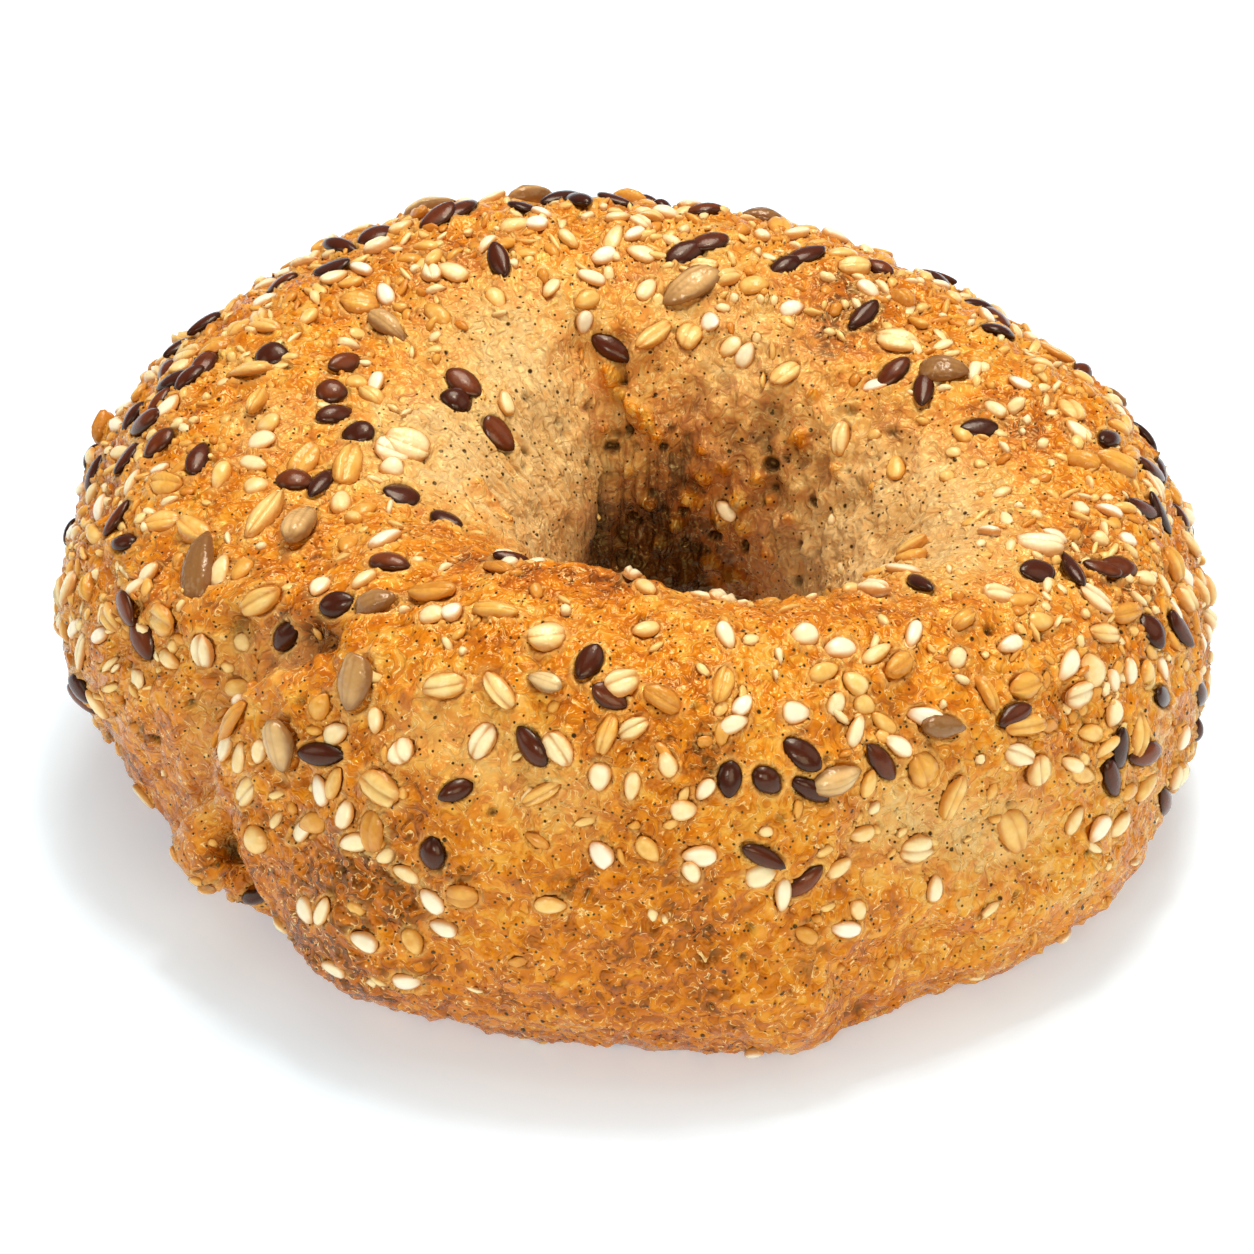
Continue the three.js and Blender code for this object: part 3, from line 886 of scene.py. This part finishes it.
    def corners(self):
        """The grid moved by its relief. What rests on the floor is only ever pressed in, and less."""
        move = self.move + self.seat
        resting = self.points[:, 2] < RESTING_BELOW
        move = np.where(resting, np.minimum(RESTING_RELIEF * move, 0), move)
        corners = self.points + self.normals * move[:, None]
        corners[:, 2] = np.maximum(corners[:, 2], 0)
        return corners

    def baked(self, browned_and_shaded, pale, inside, deep):
        """How baked the crust is at each corner, with painted shade deep in the hole, before the small
        changes of tone.
        """
        baked = BAKED_PLAIN + hills(self.points, *BAKED_PATCHES) + BAKED_BROWNED_AND_SHADED * browned_and_shaded
        baked += BAKED_PALE * pale + BAKED_INSIDE * inside + DEEP_BAKE_AND_SHADE * deep + BAKED_BASE * self.base
        return baked + BAKED_SIDES * smoothstep(20, -25, self.degrees) * (self.degrees > -60)

    def fields(self):
        """What the material reads: how baked, pale, low and glazed the crust is, and its painted shade, at
        each corner.
        """
        points, degrees = self.points, self.degrees
        browned_and_shaded = painted(points, BROWNED_AND_SHADED).clip(-0.4, 1.2)
        pale = painted(points, PALE).clip(0, 1)
        inside = smoothstep(112, 150, degrees) + smoothstep(-150, -175, degrees)
        deep = smoothstep(150, 178, degrees) + smoothstep(-150, -179, degrees)
        gaps = self.rough * smoothstep(0.05, -0.35, self.knobs) * (1 - self.knot.clip(0, 1))
        bake = self.baked(browned_and_shaded, pale, inside, deep)
        tone = bake + TONE_RAISED - STRAND_TONE * np.maximum(self.ridge, CURL_SHARE * self.curl)
        tone += hills(points, *PATCHES) + SPOTS[1] * noise(points, SPOTS[0], SPOTS[2])
        tone += KNOB_TONE * np.maximum(self.knobs, 0) + self.knot * (KNOT_TONE - bake) + GAP_SHADE_TONE * gaps
        low = smoothstep(0.05, -0.5, self.fine + 0.7 * self.knobs + self.folds + self.knot)
        # Painted shade: darker in creases, between knobs, in pits and deep in the hole.
        painted_shade = painted(points, SHADED) * (1 + hills(points, 3, 0.6, 71))
        painted_shade += GAP_SHADE * gaps - PIT_SHADE * self.pit + DEEP_SHADE * deep
        return {
            "tone": np.minimum(tone, DARKEST),
            "pale": np.clip(pale + 0.2 * inside - 0.6 * self.knot, 0, 1),
            "low": low * smoothstep(0.62, 0.28, bake),
            "painted_shade": np.clip(painted_shade, 0, 1),
            "glaze": np.clip(self.seat * 4, 0, 1),
        }

    def add_pieces(self, material):
        """Sectors of the grid as meshes that share their border corners and normals."""
        turns, tilts = CRUST_GRID
        corners = self.corners().reshape(turns, tilts, 3)
        shading = np.cross(*[np.roll(corners, -1, way) - np.roll(corners, 1, way) for way in (0, 1)])
        shading /= np.linalg.norm(shading, axis=-1, keepdims=True) + 1e-12
        fields = self.fields()
        span = turns // CRUST_PIECES
        for n in range(CRUST_PIECES):
            rows = np.arange(n * span, (n + 1) * span + 1) % turns
            own = {name: values.reshape(turns, tilts)[rows].ravel() for name, values in fields.items()}
            faces = ring_faces(span + 1, tilts)[:span * tilts].tolist()
            piece = mesh_piece(f"crust_{n + 1}", corners[rows].reshape(-1, 3), faces, material, own)
            piece.data.normals_split_custom_set_from_vertices(shading[rows].reshape(-1, 3).tolist())


# Materials

def srgb(red, green, blue):
    """A colour as seen, from 0 to 255, as the linear colour that shaders take."""
    shares = [c / 255 for c in (red, green, blue)]
    return (*[s / 12.92 if s <= 0.04045 else ((s + 0.055) / 1.055) ** 2.4 for s in shares], 1)


class Paint:
    """Builds the nodes of one material. Lengths in its patterns are millimetres."""

    def __init__(self, name):
        self.material = bpy.data.materials.new(name)
        self.material.use_nodes = True
        self.tree = self.material.node_tree
        self.tree.nodes.clear()
        place = self.add("TexCoord", "Object")
        self.place = self.add("VectorMath", 0, {0: place, 3: 1 / MM}, operation="SCALE")

    def node(self, kind, inputs=(), **settings):
        node = self.tree.nodes.new("ShaderNode" + kind)
        for name, value in settings.items():
            setattr(node, name, value)
        for name, value in dict(inputs).items():
            if isinstance(value, bpy.types.NodeSocket):
                self.tree.links.new(value, node.inputs[name])
            else:
                node.inputs[name].default_value = value
        return node

    def add(self, kind, out, inputs=(), **settings):
        return self.node(kind, inputs, **settings).outputs[out]

    def field(self, name):
        return self.add("Attribute", "Fac", attribute_name=name)

    def noise(self, wave, detail=2.0, curl=0.0, shift=0.0):
        """Noise from 0 to 1 with features about one wave wide."""
        place = self.add("Mapping", 0, {"Vector": self.place, "Location": (shift,) * 3})
        inputs = {"Vector": place, "Scale": 1 / wave, "Detail": detail, "Distortion": curl}
        return self.add("TexNoise", 0, inputs)

    def math(self, operation, a, b=0.0, c=0.0):
        return self.add("Math", 0, {0: a, 1: b, 2: c}, operation=operation)

    def band(self, value, low, high, bottom=0.0, top=1.0):
        """value between low and high becomes bottom to top, smoothly; low may be above high."""
        inputs = {"Value": value, "From Min": low, "From Max": high, "To Min": bottom, "To Max": top}
        return self.add("MapRange", 0, inputs, interpolation_type="SMOOTHSTEP")

    def mix(self, share, a, b):
        return self.add("Mix", 2, {0: share, 6: a, 7: b}, data_type="RGBA")

    def ramp(self, value, stops):
        """Colours along value. A stop is a place, then red, green and blue as seen, from 0 to 255."""
        node = self.node("ValToRGB", {0: value})
        elements = node.color_ramp.elements
        for (place, *colour), element in itertools.zip_longest(stops, list(elements)):
            element = element or elements.new(place)
            element.position = place
            element.color = srgb(*colour)
        return node.outputs[0]

    def bump(self, height, depth):
        """Relief of depth mm where height goes from 0 to 1."""
        return self.add("Bump", 0, {"Height": height, "Distance": depth * MM, "Strength": 1.0})

    def finish(self, **inputs):
        """The material, from the values of its shader's sockets by their names."""
        inputs = {name.replace("_", " "): value for name, value in inputs.items()}
        shader = self.add("BsdfPrincipled", 0, inputs)
        self.node("OutputMaterial", {"Surface": shader})
        return self.material


BRAN = srgb(50, 21, 5)
PALE_DOUGH = srgb(220, 184, 132)
LOW_DOUGH = srgb(198, 142, 70)
# Painted highlight: the pale cream of the strands at the film's edges.
STRAND_HIGHLIGHT = srgb(254, 222, 150)
GLAZE = srgb(240, 188, 104)
# The dark brown of painted shade.
SHADE_COLOUR = srgb(44, 22, 7)
# The crust's colour from pale to dark brown, and the tints of its gloss and of the seeds' gloss.
CRUST_STOPS = [
    (0, 226, 180, 108), (0.28, 232, 160, 54), (0.5, 220, 126, 10), (0.76, 186, 92, 6), (1, 108, 48, 4),
]
GOLDEN_GLOSS = (1, 0.7, 0.2, 1)
WARM_GLOSS = (1, 0.86, 0.66, 1)
# Specks of bran: how far apart, how wide as a share of that, and the shares left out on baked and on
# pale crust.
SPECKS = [(0.72, 0.2, 0.48, 0.48), (2, 0.12, 0.55, 0.4)]


def crust_material():
    """A glossy film that flows over the crust, with pale strands at its edges painted as highlights, specks
    of bran and painted shade.
    """
    paint = Paint("crust")
    tone, pale, low, painted_shade, glaze = (
        paint.field(name) for name in ("tone", "pale", "low", "painted_shade", "glaze")
    )
    flow = paint.noise(1.35, detail=1.4, curl=1.2)
    film = paint.band(flow, 0.46, 0.55)
    grain = paint.noise(0.7, detail=1, shift=30)
    edge = paint.band(paint.math("ABSOLUTE", paint.math("SUBTRACT", flow, 0.485)), 0, 0.024, 1, 0)
    # Painted highlight on pale strands along the film's edges.
    strand_highlight = paint.math("MULTIPLY", edge, paint.band(grain, 0.44, 0.56))
    colour = paint.ramp(paint.math("MULTIPLY_ADD", film, 0.2, tone), CRUST_STOPS)
    for share, most, tint in (
        (pale, 0.5, PALE_DOUGH), (low, 0.42, LOW_DOUGH), (strand_highlight, 0.85, STRAND_HIGHLIGHT), (glaze, 0.5, GLAZE)
    ):
        colour = paint.mix(paint.math("MULTIPLY", share, most), colour, tint)
    for apart, wide, left_out, left_out_pale in SPECKS:
        specks = paint.node("TexVoronoi", {"Vector": paint.place, "Scale": 1 / apart})
        near = paint.band(specks.outputs["Distance"], wide * 0.7, wide * 1.25, 1, 0)
        least = paint.band(pale, 0, 1, left_out, left_out_pale)
        kept = paint.math("GREATER_THAN", specks.outputs["Color"], least)
        colour = paint.mix(paint.math("MULTIPLY", near, kept), colour, BRAN)
    # Painted shade in the creases, pits, gaps between knobs and deep in the hole.
    colour = paint.mix(paint.math("MULTIPLY", painted_shade, 0.92), colour, SHADE_COLOUR)
    height = paint.math("MULTIPLY_ADD", flow, 0.62, paint.math("MULTIPLY", grain, 0.1))
    height = paint.math("MULTIPLY_ADD", edge, 0.03, height)
    return paint.finish(
        Base_Color=colour,
        Roughness=paint.band(pale, 0, 1, 0.14, 0.3),
        Specular_IOR_Level=0.65,
        Specular_Tint=GOLDEN_GLOSS,
        Normal=paint.bump(height, 1),
    )


def seed_material(name, stops, edge, edge_share=0.9, roughness=0.24, shine=0.5, grain=0.5, depth=0.05):
    """Seeds: a body colour by each seed's tone, an edge colour that is partly toasting and partly painted
    shade, mottling of a grain in mm, and relief.
    """
    paint = Paint(name)
    mottle = paint.noise(grain * 2.4, shift=9)
    tone = paint.math("MULTIPLY_ADD", mottle, 0.5, paint.field("tone"))
    colour = paint.ramp(paint.math("SUBTRACT", tone, 0.25), stops)
    # Edge colour on the sides, ends and grooves: partly toasting, partly painted shade.
    edge_and_shade = paint.math("MULTIPLY", paint.band(paint.field("rim"), 0.12, 0.85), edge_share)
    return paint.finish(
        Base_Color=paint.mix(edge_and_shade, colour, srgb(*edge)),
        Roughness=roughness,
        Specular_IOR_Level=shine,
        Specular_Tint=WARM_GLOSS,
        Normal=paint.bump(paint.noise(grain, detail=1), depth),
    )


def floor_material():
    paint = Paint("pale_floor")
    tone = paint.band(paint.noise(180), 0.3, 0.7)
    away = paint.add("VectorMath", "Value", {0: paint.place}, operation="LENGTH")
    return paint.finish(
        Base_Color=paint.mix(tone, srgb(229, 243, 249), srgb(232, 246, 252)),
        Roughness=0.85,
        Emission_Color=srgb(230, 242, 255),
        Emission_Strength=paint.band(away, FAR_FROM, FAR_TO, FLOOR_GLOW, FAR_GLOW),
    )


def add_floor():
    """A floor wide enough to fill every view, level with the bagel's flat base."""
    side = FLOOR_REACH * MM
    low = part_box("bagel")[0].z
    mesh = bpy.data.meshes.new("floor")
    corners = [(-side, -side, low), (side, -side, low), (side, side, low), (-side, side, low)]
    mesh.from_pydata(corners, [], [(0, 1, 2, 3)])
    mesh.materials.append(floor_material())
    floor = bpy.data.objects.new("floor", mesh)
    bpy.context.scene.collection.objects.link(floor)


SEED_LOOKS = {
    "linseeds": ("linseed", dict(
        stops=[(0, 60, 19, 5), (0.6, 82, 30, 8), (1, 114, 50, 16)],
        edge=(30, 10, 4), edge_share=0.7, roughness=0.22, shine=0.4, grain=0.3, depth=0.015)),
    "sesame_seeds": ("sesame", dict(
        stops=[(0, 252, 240, 212), (0.5, 248, 226, 174), (0.8, 240, 192, 104), (1, 218, 148, 52)],
        edge=(208, 134, 42))),
    "grain_flakes": ("grain", dict(
        stops=[(0.1, 250, 232, 186), (0.45, 244, 208, 130), (0.75, 232, 170, 72), (1, 204, 128, 36)],
        edge=(200, 124, 40), grain=0.7, depth=0.14)),
    "sunflower_kernels": ("sunflower", dict(
        stops=[(0.1, 142, 96, 50), (0.4, 188, 138, 80), (0.7, 218, 172, 108), (1, 240, 204, 142)],
        edge=(124, 74, 30), edge_share=0.8, roughness=0.2, shine=0.6, grain=0.8, depth=0.18)),
    "crumbs": ("crust", dict(
        stops=[(0, 250, 228, 174), (0.4, 242, 202, 120), (0.7, 230, 164, 66), (1, 204, 122, 30)],
        edge=(196, 116, 30), edge_share=0.6, roughness=0.26)),
}


def main():
    add_camera()
    add_lights()
    add_floor()
    crust = Crust()
    for n, (kind, spots) in enumerate(all_spots().items()):
        slot, look = SEED_LOOKS[kind]
        draw = np.random.default_rng(SEED_DRAWS + n)
        crust.press(seed_piece(kind, spots, crust, seed_material(kind, **look), draw))
    crust.add_pieces(crust_material())


main()
